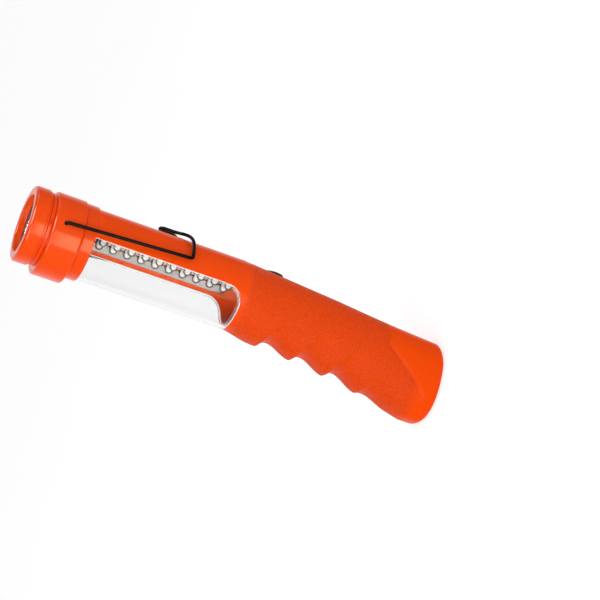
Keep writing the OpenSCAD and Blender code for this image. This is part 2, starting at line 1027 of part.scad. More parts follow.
module tail_cap() {
    color("black")
        on_battery_axis()
            difference() {
                union() {
                    translate([0, 0, cap_z0])
                        cylinder(r = cap_r, h = cap_head_t);
                    translate([0, 0, cap_z0])
                        cylinder(r = tube_bore_r - 0.08, h = cap_head_t + 8);
                }
                translate([-10, -1.1, cap_z0 - 1])
                    cube([20, 2.2, 2.8]);
                translate([0, 0, cap_z0 + cap_head_t + 4])
                    cylinder(r = 6.4, h = 10);
                torus(cap_r - 0.4, cap_ring_r + 0.02, cap_z0 + 2.4);
            }
}

module tail_cap_o_ring() {
    color("red")
        on_battery_axis()
            torus(cap_r - 0.4, cap_ring_r, cap_z0 + 2.4);
}

// Closed rings that stand in for the tapering coil between the cap and the cell
module tail_spring() {
    z0 = cap_z0 + cap_head_t + 4;
    turns = 6;
    wire = 0.5;
    pitch = (cell_z0 - z0 - 2 * wire) / (turns - 1);
    color("silver")
        on_battery_axis()
            for (i = [0 : turns - 1])
                torus(5.2 - 0.3 * i, wire, z0 + wire + i * pitch);
}

// ---------------------------------------------------------------- output

body_shell_right();
body_shell_left();
body_screws();
flood_lens();
flood_lens_gasket();
flood_reflector();
flood_board();
flood_leds();
head_core();
hook_collar();
collar_o_ring();
collar_retaining_ring();
hook();
hook_clips();
bezel();
bezel_o_ring();
front_lens();
front_lens_gasket();
spot_reflector();
spot_led();
spot_led_board();
spot_heat_sink();
spot_board_screws();
control_board();
control_components();
switch_body();
switch_plunger();
switch_spring();
switch_button();
switch_seal();
battery_tube();
battery_cell();
positive_contact();
negative_strip();
tail_cap();
tail_cap_o_ring();
tail_spring();
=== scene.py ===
"""Looks of the traffic baton light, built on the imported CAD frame.

Shapes are worked out in millimetres in the CAD frame: +Z runs from the tail to
the nose on the barrel axis, the flood lens faces -Y and the thumb side +Y.
"""

import json
import math

import bmesh
import bpy
import numpy as np
from mathutils import Matrix, Vector


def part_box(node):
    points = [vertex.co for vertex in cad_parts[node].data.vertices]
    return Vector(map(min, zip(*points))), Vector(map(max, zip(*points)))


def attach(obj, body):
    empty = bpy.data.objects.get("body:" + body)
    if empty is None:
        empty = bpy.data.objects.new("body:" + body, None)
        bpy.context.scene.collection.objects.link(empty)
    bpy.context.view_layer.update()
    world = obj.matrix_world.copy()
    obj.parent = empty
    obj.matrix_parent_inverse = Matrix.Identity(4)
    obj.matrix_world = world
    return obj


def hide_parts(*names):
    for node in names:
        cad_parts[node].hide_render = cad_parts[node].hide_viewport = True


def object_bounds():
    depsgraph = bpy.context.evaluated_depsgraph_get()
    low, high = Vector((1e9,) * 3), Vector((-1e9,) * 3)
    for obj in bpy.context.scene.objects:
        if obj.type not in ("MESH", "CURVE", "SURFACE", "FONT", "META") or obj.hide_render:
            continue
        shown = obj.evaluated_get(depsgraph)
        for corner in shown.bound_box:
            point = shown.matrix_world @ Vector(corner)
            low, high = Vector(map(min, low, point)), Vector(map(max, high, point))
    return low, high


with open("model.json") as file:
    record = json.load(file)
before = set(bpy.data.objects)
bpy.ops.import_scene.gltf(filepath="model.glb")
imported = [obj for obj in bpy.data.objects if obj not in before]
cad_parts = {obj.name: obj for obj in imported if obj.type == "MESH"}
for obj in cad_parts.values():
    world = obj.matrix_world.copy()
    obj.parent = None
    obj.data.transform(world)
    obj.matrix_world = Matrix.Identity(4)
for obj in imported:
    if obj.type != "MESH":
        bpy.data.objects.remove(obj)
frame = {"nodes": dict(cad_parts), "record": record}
cad_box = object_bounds()
MM = 0.001


# ---------------------------------------------------------------- sizes from the frame

def mm_box(node):
    """Lowest and highest corner of a CAD node in millimetres."""
    low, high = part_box(node)
    return np.array(low) / MM, np.array(high) / MM


def joint(name):
    """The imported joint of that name."""
    return next(j for j in frame["record"]["behaviour"]["joints"] if j["name"] == name)


def solids(node):
    """Box of each separate solid of a CAD node, in millimetres."""
    mesh = frame["nodes"][node].data
    keys = [tuple(np.round(np.array(v.co) / MM, 3)) for v in mesh.vertices]
    parent = {k: k for k in keys}

    def root(k):
        while parent[k] != k:
            parent[k] = parent[parent[k]]
            k = parent[k]
        return k

    for edge in mesh.edges:
        a, b = (root(keys[i]) for i in edge.vertices)
        parent[a] = b
    groups = {}
    for k in parent:
        groups.setdefault(root(k), []).append(k)
    boxes = [(np.min(g, axis=0), np.max(g, axis=0)) for g in groups.values()]
    return sorted(boxes, key=lambda b: tuple(np.round(b[0], 1)))


FIT_GAP = 0.05
LENS_GAP = 0.15
LENS_LOW, LENS_HIGH = mm_box("flood_lens")
BARREL_R = -LENS_LOW[1]
RING_Z0 = LENS_HIGH[2] + FIT_GAP
WINDOW_Z0 = LENS_LOW[2] - LENS_GAP
WINDOW_CORNER_R = 10
SHELL_WALL = 2.4
LENS_WALL = 2
GRIP_Z1 = WINDOW_Z0 + 2

# Driving sizes of the grip, the same as in the CAD source.
HEEL_DROP = -mm_box("body_shell_right")[0][1]
TAIL_BACK = 11.6
TAIL_ROUND = 4.5
BACK_Z0 = 4
BACK_SAG = 0.5
BACK_SAG_Z1 = 70
WAIST_W = 36
WAIST_RUN = 40
POMMEL_W = 42
POMMEL_Z1 = 50
POMMEL_RUN = 35
POMMEL_STEP = 1.4
POMMEL_LINE_Z0 = 10
POMMEL_LINE_RISE = 28
POMMEL_LINE_LOW = -0.5
POMMEL_LINE_SPAN = 0.9
POMMEL_LINE_TOP = 0.85
POMMEL_LINE_FADE = 0.4
FOOT_Z1 = 16
FOOT_RUN = 12
GUARD_DROP = 3
GUARD_RATE = 6
HEEL_Z = 12
GROOVE_DEPTH = 4.5
GROOVE_PITCH = 22.5
GROOVE_COUNT = 4
GROOVE_LEAN = 13
GROOVE_SIDE = 0.35
GROOVE_SIDE_LOW = 0.5
FIRST_CREST_Z = WINDOW_Z0 - 21.3
SECTION_POWER = 0.9

# Sizes that differ from the CAD source: a crisper pommel step and a wider hole around the wire.
POMMEL_LINE_W = 1.6
PIVOT_HOLE_R = 1.3

# Driving sizes of the head and hook, the same as in the CAD source.
NECK_R = 20.4
NECK_BORE_R = 19.05
CORE_BORE_R = 16.4
SHOULDER_RISE = 9
SPIGOT_R = BARREL_R - SHELL_WALL - 2 * FIT_GAP
WIRE_R = 1.0
HOOK_BEND_R = 23.6
HOOK_RISE = 5.0
TONGUE_LEN = 17
TONGUE_R = 2.5
TURN_ANGLE = math.radians(40)
TURN_RISE = 10
BEND_EXTRA = 0.05

HOOK_JOINT = joint("hook_swing")
PIVOT_Z = HOOK_JOINT["pos_m"][2] / MM
PIVOT_TURN = math.atan2(HOOK_JOINT["axis"][1], HOOK_JOINT["axis"][0])


# ---------------------------------------------------------------- mesh helpers

def new_object(name, data):
    """A new object in the scene around a mesh, curve, light or camera."""
    obj = bpy.data.objects.new(name, data)
    bpy.context.scene.collection.objects.link(obj)
    return obj


def raw_mesh(name, points, faces):
    """Mesh from points in millimetres."""
    mesh = bpy.data.meshes.new(name)
    mesh.from_pydata((np.asarray(points, float) * MM).tolist(), [], faces)
    return mesh


def add_mesh(name, points, faces, materials, node, sharp=40):
    """A named piece of the body from points in millimetres, in place of a CAD node."""
    mesh = raw_mesh(name, points, faces)
    clean(mesh)
    obj = new_object(name, mesh)
    finish_piece(obj, materials, node, sharp)
    return obj


def clean(mesh):
    """Merges repeated points, drops flat faces and turns the normals outward."""
    bm = bmesh.new()
    bm.from_mesh(mesh)
    bmesh.ops.remove_doubles(bm, verts=bm.verts, dist=1e-6)
    bmesh.ops.dissolve_degenerate(bm, edges=bm.edges, dist=1e-7)
    bmesh.ops.recalc_face_normals(bm, faces=bm.faces)
    bm.to_mesh(mesh)
    bm.free()


def finish_piece(obj, materials, node, sharp=40):
    """Shading, materials, body, replaced node and slot of a piece of the fixed body."""
    mesh = obj.data
    mesh.polygons.foreach_set("use_smooth", [True] * len(mesh.polygons))
    mesh.set_sharp_from_angle(angle=math.radians(sharp))
    for name in materials:
        mesh.materials.append(MATERIALS[name])
    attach(obj, "body")
    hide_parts(node)


def grid_faces(rows, cols, wrap_rows=False, wrap_cols=False):
    """Quads of a grid of points stored row by row."""
    faces = []
    for i in range(rows if wrap_rows else rows - 1):
        for j in range(cols if wrap_cols else cols - 1):
            p, q = i * cols, (i + 1) % rows * cols
            k = (j + 1) % cols
            faces.append((p + j, p + k, q + k, q + j))
    return faces


def rounded(profile, radii, steps):
    """Closed profile of (r, z) corners with each corner rounded by its radius."""
    out = []
    n = len(profile)
    for i, radius in enumerate(radii):
        p = np.array(profile[i], float)
        if radius == 0:
            out.append(p)
            continue
        a = np.array(profile[i - 1], float) - p
        b = np.array(profile[(i + 1) % n], float) - p
        a /= np.linalg.norm(a)
        b /= np.linalg.norm(b)
        half = math.acos(np.clip(a @ b, -1, 1)) / 2
        reach = radius / math.tan(half)
        centre = p + (a + b) / np.linalg.norm(a + b) * radius / math.sin(half)
        start, end = p + a * reach - centre, p + b * reach - centre
        for k in range(steps + 1):
            t = k / steps
            v = start * (1 - t) + end * t
            out.append(centre + v / np.linalg.norm(v) * radius)
    return out


def lathe_points(profile, segments, axis_y=None):
    """Points of a closed profile turned around Z; axis_y(i) shifts profile point i along Y."""
    angles = np.linspace(0, 2 * math.pi, segments, endpoint=False)
    points = []
    for i, (r, z) in enumerate(profile):
        shift = axis_y(i) if axis_y else 0
        points += [(r * math.cos(a), r * math.sin(a) + shift, z) for a in angles]
    return points, grid_faces(len(profile), segments, wrap_rows=True, wrap_cols=True)


def cutter(radius, start, axis, length, segments=64):
    """Round bar used to cut a hole: from start along axis."""
    mesh = bpy.data.meshes.new("cutter")
    bm = bmesh.new()
    bmesh.ops.create_cone(bm, cap_ends=True, segments=segments,
                          radius1=radius * MM, radius2=radius * MM, depth=length * MM)
    axis = Vector(axis).normalized()
    turn = axis.to_track_quat("Z", "Y").to_matrix().to_4x4()
    middle = (Vector(start) + axis * length / 2) * MM
    bm.transform(Matrix.Translation(middle) @ turn)
    bm.to_mesh(mesh)
    bm.free()
    return new_object("cutter", mesh)


def cut_holes(obj, cutters):
    """Cuts the cutters out of obj and removes them."""
    for c in cutters:
        mod = obj.modifiers.new("cut", "BOOLEAN")
        mod.operation = "DIFFERENCE"
        mod.solver = "EXACT"
        mod.object = c
    bpy.context.view_layer.update()
    graph = bpy.context.evaluated_depsgraph_get()
    mesh = bpy.data.meshes.new_from_object(obj.evaluated_get(graph))
    old = obj.data
    obj.modifiers.clear()
    obj.data = mesh
    bpy.data.meshes.remove(old)
    for c in cutters:
        bpy.data.objects.remove(c)


# ---------------------------------------------------------------- materials

class Nodes:
    """A node material that is put together line by line."""

    def __init__(self, name):
        self.material = bpy.data.materials.new(name)
        self.material.use_nodes = True
        self.tree = self.material.node_tree
        self.shader = next(n for n in self.tree.nodes if n.type == "BSDF_PRINCIPLED")
        self.where = self.new("ShaderNodeTexCoord").outputs["Object"]

    def new(self, kind, **settings):
        """A new node with its settings."""
        node = self.tree.nodes.new(kind)
        for key, value in settings.items():
            setattr(node, key, value)
        return node

    def link(self, out, into):
        """Joins an output to an input."""
        self.tree.links.new(out, into)

    def set(self, **values):
        """Sets the shader's sockets; underscores in names stand for spaces."""
        for key, value in values.items():
            self.shader.inputs[key.replace("_", " ")].default_value = value

    def noise(self, scale, detail=3, stretch=None):
        """Noise with scale in features per metre, stretched along the given axes."""
        node = self.new("ShaderNodeTexNoise")
        node.inputs["Scale"].default_value = scale
        node.inputs["Detail"].default_value = detail
        self.link(self.mapped(stretch), node.inputs["Vector"])
        return node.outputs["Fac"]

    def mapped(self, stretch):
        """Object coordinates, scaled per axis if stretch is given."""
        if stretch is None:
            return self.where
        node = self.new("ShaderNodeMapping")
        node.inputs["Scale"].default_value = stretch
        self.link(self.where, node.inputs["Vector"])
        return node.outputs["Vector"]

    def cells(self, scale, feature="F1"):
        """Distance field of random cells."""
        node = self.new("ShaderNodeTexVoronoi", feature=feature)
        node.inputs["Scale"].default_value = scale
        self.link(self.where, node.inputs["Vector"])
        return node.outputs["Distance"]

    def math(self, operation, a, b):
        """Result of a and b, each a number or a socket."""
        node = self.new("ShaderNodeMath", operation=operation)
        for socket, value in zip(node.inputs, (a, b)):
            if isinstance(value, (int, float)):
                socket.default_value = value
            else:
                self.link(value, socket)
        return node.outputs[0]

    def remap(self, value, low, high, out_low, out_high):
        """Value carried from the range low to high into out_low to out_high."""
        node = self.new("ShaderNodeMapRange")
        self.link(value, node.inputs["Value"])
        for key, number in (("From Min", low), ("From Max", high),
                            ("To Min", out_low), ("To Max", out_high)):
            node.inputs[key].default_value = number
        return node.outputs["Result"]

    def mix(self, factor, a, b):
        """Mix of two colours, each an RGB tuple or a socket."""
        node = self.new("ShaderNodeMix", data_type="RGBA")
        self.link(factor, node.inputs["Factor"])
        for socket, value in ((node.inputs[6], a), (node.inputs[7], b)):
            if isinstance(value, tuple):
                socket.default_value = (*value, 1)
            else:
                self.link(value, socket)
        return node.outputs[2]

    def edges(self):
        """Near 1 along worn outer edges and near 0 elsewhere."""
        pointiness = self.new("ShaderNodeNewGeometry").outputs["Pointiness"]
        return self.remap(pointiness, 0.52, 0.62, 0, 1)

    def bump(self, height, distance, after=None):
        """Bump of a height field; distance in millimetres."""
        node = self.new("ShaderNodeBump")
        node.inputs["Strength"].default_value = 1
        node.inputs["Distance"].default_value = distance * MM
        self.link(height, node.inputs["Height"])
        if after:
            self.link(after, node.inputs["Normal"])
        return node.outputs["Normal"]


def tone(rgb, k):
    """The colour made lighter or darker by the factor k."""
    return tuple(min(1, c * k) for c in rgb)


def plastic(name, rgb, rough=0.3, grain=0.012, grain_scale=900, spread=0.08, wear=1.25,
            specular=0.5):
    """Moulded plastic or rubber with soft mottling, a faint grain and lighter worn edges."""
    n = Nodes(name)
    base = n.mix(n.noise(60), tone(rgb, 1 - spread), tone(rgb, 1 + spread))
    worn = n.mix(n.edges(), base, tone(rgb, wear))
    n.link(worn, n.shader.inputs["Base Color"])
    n.link(n.remap(n.noise(240), 0.3, 0.7, rough * 0.88, rough * 1.12), n.shader.inputs["Roughness"])
    n.link(n.bump(n.noise(grain_scale, 4), grain), n.shader.inputs["Normal"])
    n.set(Specular_IOR_Level=specular)
    return n.material


def metal(name, rgb, rough=0.3, brushed=(1, 1, 40), grain=0.01):
    """Metal with a brushed or cast surface and brighter edges."""
    n = Nodes(name)
    strokes = n.noise(160, 4, brushed)
    base = n.mix(strokes, tone(rgb, 0.82), tone(rgb, 1.1))
    n.link(n.mix(n.edges(), base, tone(rgb, 1.3)), n.shader.inputs["Base Color"])
    n.link(n.remap(strokes, 0.3, 0.7, rough * 0.8, rough * 1.25), n.shader.inputs["Roughness"])
    n.link(n.bump(strokes, grain), n.shader.inputs["Normal"])
    n.set(Metallic=1.0)
    return n.material


def clear(name, rgb, rough, ior):
    """Clear moulded plastic with faint ripples and fine scuffs in the gloss."""
    n = Nodes(name)
    base = n.mix(n.noise(40), tone(rgb, 0.985), tone(rgb, 1.01))
    n.link(base, n.shader.inputs["Base Color"])
    scuffs = n.noise(500, 6, (1, 1, 0.1))
    n.link(n.remap(scuffs, 0.45, 0.75, rough, rough + 0.05), n.shader.inputs["Roughness"])
    n.link(n.bump(n.noise(35, 2), 0.004), n.shader.inputs["Normal"])
    n.set(Transmission_Weight=1.0, IOR=ior)
    return n.material


def shell_orange(rgb):
    """Orange body: gloss barrel, satin grip with a leathery stipple where the mesh says grip; the stipple
    carries painted shade in its pits and painted highlights on its raised grains.
    """
    n = Nodes("shell_orange")
    grip = n.new("ShaderNodeAttribute", attribute_name="grip").outputs["Fac"]
    base = n.mix(n.noise(45), tone(rgb, 0.96), tone(rgb, 1.04))
    grains = n.remap(n.cells(1050), 0.0, 0.7, 1, 0)
    fine = n.noise(1800, 3)
    leather = n.math("ADD", n.math("MULTIPLY", grains, 0.8), n.math("MULTIPLY", fine, 0.3))
    # Painted shade: the gaps between the stipple grains are darkened in the base colour.
    painted_pit_shade = n.mix(n.math("MULTIPLY", n.remap(leather, 0.2, 0.8, 1, 0), grip), base, tone(rgb, 0.82))
    # Painted highlight: the tops of the raised grains are lightened toward pale orange in the base
    # colour.
    light = n.mix(n.math("MULTIPLY", n.remap(leather, 0.75, 1.0, 0, 0.6), grip), painted_pit_shade, (1, 0.13, 0.02))
    n.link(n.mix(n.edges(), light, tone(rgb, 1.2)), n.shader.inputs["Base Color"])
    rough = n.math("ADD", n.remap(n.noise(200), 0.3, 0.7, 0.15, 0.2), n.math("MULTIPLY", grip, 0.2))
    n.link(rough, n.shader.inputs["Roughness"])
    gloss = n.bump(n.noise(160, 2), 0.01)
    n.link(n.bump(n.math("MULTIPLY", leather, grip), 0.3, after=gloss), n.shader.inputs["Normal"])
    high = n.new("ShaderNodeSeparateXYZ")
    n.link(n.where, high.inputs[0])
    gloss_start, gloss_end = (WINDOW_Z0 - 6) * MM, (WINDOW_Z0 + 2) * MM
    n.link(n.remap(high.outputs["Z"], gloss_start, gloss_end, 0.09, 0.25),
           n.shader.inputs["Specular IOR Level"])
    return n.material


def lamp_resin(name, rgb):
    """Water-clear lamp dome with painted shade: its base colour goes near black toward its outline,
    standing in for the dark edge that a small ball lens shows.
    """
    n = Nodes(name)
    outline = n.new("ShaderNodeLayerWeight")
    outline.inputs["Blend"].default_value = 0.35
    rim = n.remap(outline.outputs["Facing"], 0.09, 0.24, 0, 1)
    base = n.mix(n.noise(400), tone(rgb, 0.96), tone(rgb, 1.03))
    # Painted shade: the base colour is darkened where the dome turns away from the view.
    n.link(n.mix(rim, base, (0.02, 0.02, 0.022)), n.shader.inputs["Base Color"])
    n.link(n.bump(n.noise(300), 0.003), n.shader.inputs["Normal"])
    n.set(Roughness=0.04, Transmission_Weight=0.3, IOR=1.5)
    return n.material


def circuit(name, rgb):
    """Green board with copper tracks under the lacquer."""
    n = Nodes(name)
    tracks = n.remap(n.cells(420, "DISTANCE_TO_EDGE"), 0.05, 0.09, 1, 0)
    base = n.mix(n.noise(90), tone(rgb, 0.9), tone(rgb, 1.1))
    n.link(n.mix(tracks, base, tone(rgb, 1.6)), n.shader.inputs["Base Color"])
    n.link(n.bump(tracks, 0.03), n.shader.inputs["Normal"])
    n.set(Roughness=0.3, Coat_Weight=0.4)
    return n.material


def wrap(name, rgb):
    """Printed film around the cell, with a band at its positive end."""
    n = Nodes(name)
    high = n.new("ShaderNodeSeparateXYZ")
    n.link(n.where, high.inputs[0])
    top = mm_box("battery_cell")[1][2] * MM
    band = n.remap(high.outputs["Z"], top - 0.009, top - 0.0085, 0, 1)
    base = n.mix(n.noise(80), tone(rgb, 0.92), tone(rgb, 1.08))
    n.link(n.mix(band, base, (0.85, 0.85, 0.86)), n.shader.inputs["Base Color"])
    n.link(n.bump(n.noise(300), 0.02), n.shader.inputs["Normal"])
    n.set(Roughness=0.28)
    return n.material


def emitter(name, rgb):
    """Phosphor under a small clear dome, with a faint painted glow that stands in for a white reflection
    on the unlit lamp.
    """
    n = Nodes(name)
    base = n.mix(n.cells(1800), tone(rgb, 1.05), tone(rgb, 0.9))
    n.link(base, n.shader.inputs["Base Color"])
    n.link(n.bump(n.noise(1200), 0.01), n.shader.inputs["Normal"])
    # Painted light: this faint emission stands in for a reflection; the lamp is not switched on.
    n.set(Roughness=0.15, Emission_Color=(1, 1, 0.97, 1), Emission_Strength=0.9)
    return n.material


def facets(name, rgb):
    """Bright metallised bowl with the fine orange-peel of a moulded facet reflector."""
    n = Nodes(name)
    cells = n.cells(520)
    n.link(n.mix(cells, (0.45, 0.45, 0.46), rgb), n.shader.inputs["Base Color"])
    n.link(n.bump(cells, 0.35), n.shader.inputs["Normal"])
    n.link(n.remap(n.noise(300), 0.3, 0.7, 0.05, 0.1), n.shader.inputs["Roughness"])
    n.set(Metallic=1.0)
    return n.material


ORANGE = (0.80, 0.060, 0.0003)
MATERIALS = {
    "shell_orange": shell_orange(ORANGE),
    "head_orange": plastic("head_orange", ORANGE, rough=0.17, grain=0.004, grain_scale=200,
                           spread=0.03, wear=1.15),
    "clear_lens": clear("clear_lens", (0.945, 0.95, 0.95), rough=0.005, ior=1.2),
    "clear_silicone": clear("clear_silicone", (0.94, 0.95, 0.95), rough=0.12, ior=1.41),
    "black_rubber": plastic("black_rubber", (0.02, 0.02, 0.02), rough=0.6, grain=0.03),
    "tray_silver": metal("tray_silver", (0.36, 0.35, 0.35), rough=0.12, brushed=(1, 1, 0.2)),
    "circuit_board": circuit("circuit_board", (0.02, 0.16, 0.05)),
    "board_parts": plastic("board_parts", (0.03, 0.03, 0.032), rough=0.4),
    "lamp_resin": lamp_resin("lamp_resin", (0.93, 0.93, 0.94)),
    "spot_emitter": emitter("spot_emitter", (0.95, 0.94, 0.86)),
    "spot_board_white": plastic("spot_board_white", (0.8, 0.8, 0.78), rough=0.45, grain=0.02),
    "sink_aluminium": metal("sink_aluminium", (0.62, 0.63, 0.65), rough=0.38, grain=0.03),
    "screw_steel": metal("screw_steel", (0.5, 0.5, 0.51), rough=0.28),
    "hook_black": plastic("hook_black", (0.005, 0.005, 0.006), rough=0.09, grain=0.004,
                          grain_scale=400, wear=2, specular=0.12),
    "button_black": plastic("button_black", (0.018, 0.018, 0.02), rough=0.42, grain=0.04,
                            grain_scale=1800, wear=2.2),
    "tube_grey": plastic("tube_grey", (0.12, 0.12, 0.125), rough=0.5, grain=0.03),
    "cell_wrap": wrap("cell_wrap", (0.03, 0.07, 0.28)),
    "contact_brass": metal("contact_brass", (0.78, 0.58, 0.25), rough=0.25),
    "cap_black": plastic("cap_black", (0.02, 0.02, 0.021), rough=0.45, grain=0.05,
                         grain_scale=1400, wear=2.4),
    "lead_frame": metal("lead_frame", (0.6, 0.58, 0.55), rough=0.2),
    "phosphor": plastic("phosphor", (0.75, 0.62, 0.25), rough=0.4),
    "reflector_chrome": facets("reflector_chrome", (0.95, 0.95, 0.95)),
}


# ---------------------------------------------------------------- shape of the grip

def clamp01(t):
    """The number t kept within 0 and 1."""
    return np.clip(t, 0, 1)


def smooth(t):
    """Soft step from 0 at t = 0 to 1 at t = 1."""
    t = clamp01(t)
    return t * t * (3 - 2 * t)


def groove(z):
    """Depth of the finger grooves: a crisp crest, then a slow rise to the next.

    The curve f (1 - f)^2 peaks at 4 / 27, so peak_scale brings it up to the full depth.
    """
    t = (FIRST_CREST_Z - z) / GROOVE_PITCH
    f = t - np.floor(t)
    peak_scale = 27 / 4
    depth = GROOVE_DEPTH * np.where(t > GROOVE_COUNT - 1, 0.5, 1)
    return np.where((t < 0) | (t > GROOVE_COUNT), 0, depth * peak_scale * f * (1 - f) ** 2)


def back_y(z):
    """Height of the back of the grip."""
    rise = clamp01((z - BACK_Z0) / (GRIP_Z1 - BACK_Z0))
    sag = BACK_SAG * np.sin(math.pi * clamp01(z / BACK_SAG_Z1))
    return TAIL_BACK + (BARREL_R - TAIL_BACK) * rise - sag


def crest_y(z):
    """Depth of the crests between the grooves."""
    t = clamp01((GRIP_Z1 - z) / (GRIP_Z1 - HEEL_Z))
    drop = HEEL_DROP - BARREL_R - GUARD_DROP
    return -(BARREL_R + GUARD_DROP * smooth(t * GUARD_RATE) + drop * t * t)


def half_w(z):
    """Half width of the grip."""
    waist = smooth((GRIP_Z1 - z) / WAIST_RUN)
    pommel = smooth((POMMEL_Z1 - z) / POMMEL_RUN)
    return (BARREL_R + (WAIST_W / 2 - BARREL_R) * waist
            + (POMMEL_W / 2 - WAIST_W / 2 - POMMEL_STEP) * pommel)


def pommel_edge(z, s):
    """Distance past the curved line where the pommel starts, in millimetres."""
    line = smooth((s - POMMEL_LINE_LOW) / POMMEL_LINE_SPAN)
    return POMMEL_LINE_Z0 + POMMEL_LINE_RISE * line - z


def pommel_out(z, s):
    """Step of the pommel along a slanted line on each side."""
    past = smooth(pommel_edge(z, s) / POMMEL_LINE_W)
    fade = clamp01((POMMEL_LINE_TOP - s) / POMMEL_LINE_FADE)
    foot = smooth((FOOT_Z1 - z) / FOOT_RUN)
    return POMMEL_STEP * (past * fade + foot * (1 - past))


def tail_pull(z):
    """Inward pull that rounds the tail face."""
    d = np.clip(TAIL_ROUND - z, 0, TAIL_ROUND)
    return TAIL_ROUND - np.sqrt(TAIL_ROUND ** 2 - d ** 2)


def grip_surface(z, a, inset=0.0):
    """Point of the right-hand side at a station and an angle from -90 to 90 degrees."""
    s, c = np.sin(a), np.maximum(np.cos(a), 0)
    pull = tail_pull(z) + inset
    low = np.maximum(0, -s)
    top = back_y(z) - pull
    cut = groove(z + GROOVE_LEAN * (1 - low) ** 1.5)
    side_cut = GROOVE_SIDE * cut * smooth(low / GROOVE_SIDE_LOW)
    bottom = crest_y(z) + cut * low ** 1.4 + pull
    mid = (top + bottom) / 2
    power = SECTION_POWER + (1 - SECTION_POWER) * smooth((z - GRIP_Z1 + 34) / 34)
    x = (half_w(z) + pommel_out(z, s) - side_cut - pull) * c ** power
    reach = np.where(s < 0, mid - bottom, top - mid)
    return x, mid + reach * np.sign(s) * np.abs(s) ** power


# ---------------------------------------------------------------- body shells

SEAM_GAP = 0.05
CAP_GAP = 0.35
BUTTON_GAP = 0.25
SCREW_GAP = 0.2
EDGE_ANGLE = -math.asin(WINDOW_CORNER_R / BARREL_R)


def section_angles():
    """Angles of the columns below and above the rear end of the window."""
    lead = np.radians([-90, -89.7, -89.3])
    low = np.linspace(math.radians(-88), EDGE_ANGLE, 40)
    high = np.linspace(EDGE_ANGLE, math.radians(88), 74)[1:]
    return np.concatenate([lead, low]), np.concatenate([high, -lead[::-1]])


def seam(x):
    """Small rounding of the outer edge along the parting plane."""
    return 0.22 * np.exp(-((x / 0.4) ** 2))


def shell_grid(inset=0.0):
    """Surface of the right shell at a depth under the skin: points, faces and share of grip."""
    low, high = section_angles()
    angles = np.concatenate([low, high])
    near_tail = TAIL_ROUND * (1 - np.cos(np.linspace(0, math.pi / 2, 9)))
    stations = np.concatenate([near_tail[:-1], np.linspace(TAIL_ROUND, WINDOW_Z0, 230)])
    points, grip = [], []
    for z in stations + inset * (1 - stations / WINDOW_Z0):
        x, y = grip_surface(np.array(z), angles, inset)
        pull = 0 * x if inset else seam(x)
        keep = 1 - pull / BARREL_R
        points += list(zip(x * keep + SEAM_GAP, y * keep, 0 * x + z))
        out = pommel_edge(z, np.sin(angles))
        window_fade = smooth((WINDOW_Z0 - 1 - z) / 3)
        pommel_fade = smooth(1 - out / 1.5)
        tail_fade = smooth((z - 10) / 8)
        grip += list(window_fade * pommel_fade * tail_fade)
    rows = len(points) // len(angles)
    faces = grid_faces(rows, len(angles)) + [tuple(range(len(angles)))[::-1]]
    start = len(points) - len(high) - 1
    cols = len(high) + 1
    above = []
    for phi in np.radians(np.linspace(4, 90, 22)):
        edge = -WINDOW_CORNER_R * (1 - math.sin(phi))
        above.append((WINDOW_Z0 + WINDOW_CORNER_R * (1 - math.cos(phi)), math.asin(edge / BARREL_R)))
    top = RING_Z0 - FIT_GAP
    above += [(z, 0.0) for z in np.linspace(WINDOW_Z0 + WINDOW_CORNER_R, top, 30)[1:]]
    fraction = (np.concatenate([[EDGE_ANGLE], high]) - EDGE_ANGLE) / (math.pi / 2 - EDGE_ANGLE)
    base = len(points)
    for z, edge in above:
        a = edge + (math.pi / 2 - edge) * fraction
        r = BARREL_R - inset - (0 if inset else seam(BARREL_R * np.cos(a)))
        points += list(zip(r * np.cos(a) + SEAM_GAP, r * np.sin(a), 0 * a + z))
        grip += [0] * cols
    for i in range(len(above)):
        p = base + (i - 1) * cols if i else start
        q = base + i * cols
        faces += [(p + j, p + j + 1, q + j + 1, q + j) for j in range(cols - 1)]
    return np.array(points), faces, np.array(grip)


def open_edges(faces):
    """Directed edges that only one face uses."""
    edges = {(a, b) for f in faces for a, b in zip(f, f[1:] + f[:1])}
    return sorted((a, b) for a, b in edges if (b, a) not in edges)


def shell_half(node, side, cutters):
    """One moulded half of the barrel and grip, with its wall and holes."""
    outer, faces, grip = shell_grid()
    inner = shell_grid(SHELL_WALL)[0]
    n = len(outer)
    rim = [(b, a, a + n, b + n) for a, b in open_edges(faces)]
    faces = faces + [tuple(v + n for v in f)[::-1] for f in faces] + rim
    points = np.concatenate([outer, inner]) * [side, 1, 1]
    grip = np.concatenate([grip, 0 * grip])
    if side < 0:
        faces = [f[::-1] for f in faces]
    mesh = raw_mesh(node + "_moulded", points, faces)
    attribute = mesh.attributes.new("grip", "FLOAT", "POINT")
    attribute.data.foreach_set("value", grip.astype(np.float32))
    clean(mesh)
    obj = new_object(node + "_moulded", mesh)
    cut_holes(obj, cutters)
    finish_piece(obj, ["shell_orange"], node, 32)


def cap_bore_cutter():
    """Bore for the tail cap, along the axis on which the cap turns."""
    turn = joint("cap_turn")
    axis = -Vector(turn["axis"])
    start = Vector(turn["pos_m"]) / MM - axis * 12
    cap = mm_box("tail_cap")
    return cutter((cap[1][0] - cap[0][0]) / 2 + CAP_GAP, start, axis, 26)


def button_cutter():
    """Opening for the push button."""
    low, high = mm_box("switch_button")
    middle = (low + high) / 2
    return cutter((high[0] - low[0]) / 2 + BUTTON_GAP, (0, low[1] - 4, middle[2]), (0, 1, 0), 30)


def screw_cutters():
    """Recesses for the screw heads on the left side."""
    cuts = []
    for low, high in solids("body_screws"):
        _, y, z = (low + high) / 2
        radius = (high[2] - low[2]) / 2 + SCREW_GAP
        cuts.append(cutter(radius, (low[0] - 30, y, z), (1, 0, 0), 31, 48))
    return cuts


